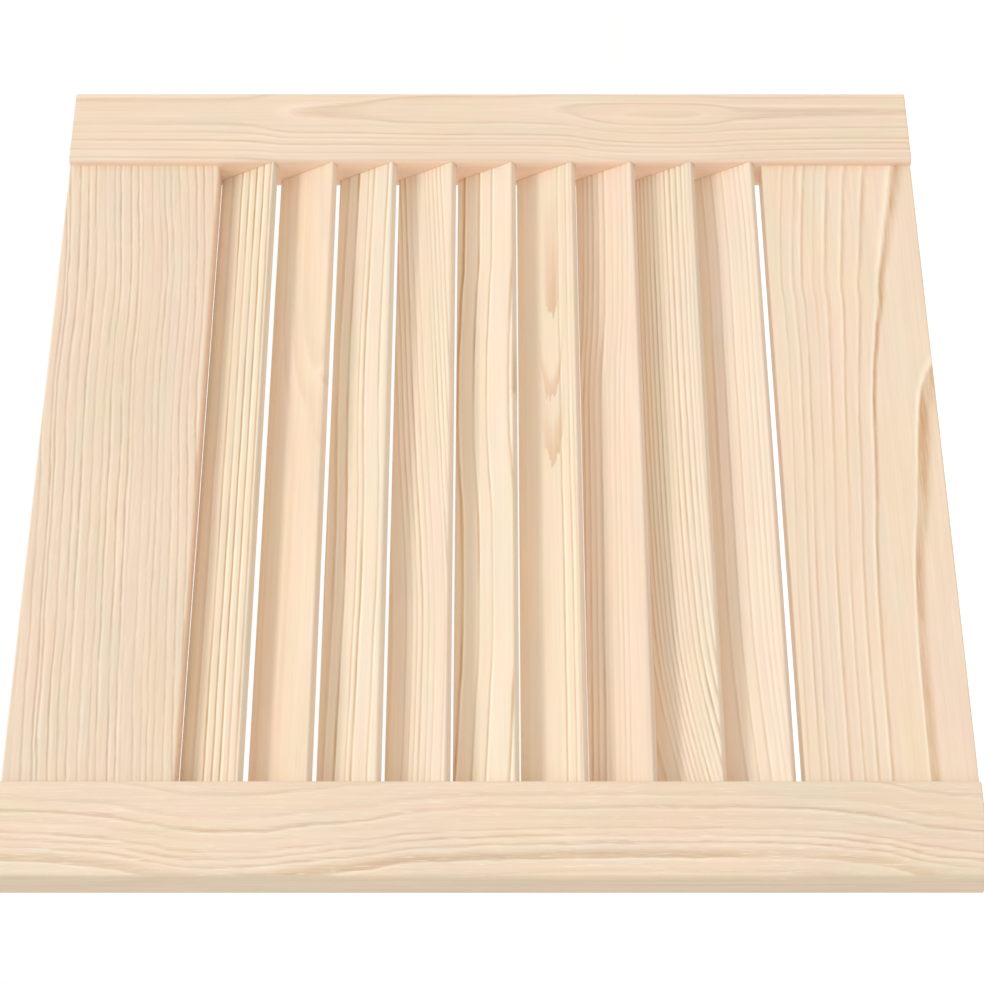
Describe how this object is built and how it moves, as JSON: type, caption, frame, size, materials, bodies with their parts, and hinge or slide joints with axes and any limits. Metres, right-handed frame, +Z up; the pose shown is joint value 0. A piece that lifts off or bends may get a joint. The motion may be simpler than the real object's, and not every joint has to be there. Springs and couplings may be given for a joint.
{
  "type": "louvred door",
  "caption": "Small louvred cabinet door in unfinished pine, with a stile and rail frame round fixed slanting louvres that let air through.",
  "frame": {"origin": "middle of the left stile's outer edge face, at mid-height and mid-thickness, where hinges go", "axes": "+Z up the door, +X across it from the hinge edge to the closing edge, front face towards -Y"},
  "size_m": [0.394, 0.02, 0.395],
  "materials": {
    "pine_stile": "planed, unfinished",
    "pine_rail": "planed, unfinished",
    "pine_louvre": "planed, unfinished"
  },
  "bodies": {
    "root": {"left_stile": "pine_stile", "right_stile": "pine_stile", "top_rail": "pine_rail", "bottom_rail": "pine_rail", "louvre_1": "pine_louvre", "louvre_2": "pine_louvre", "louvre_3": "pine_louvre", "louvre_4": "pine_louvre", "louvre_5": "pine_louvre", "louvre_6": "pine_louvre", "louvre_7": "pine_louvre", "louvre_8": "pine_louvre", "louvre_9": "pine_louvre"}
  },
  "joints": []
}
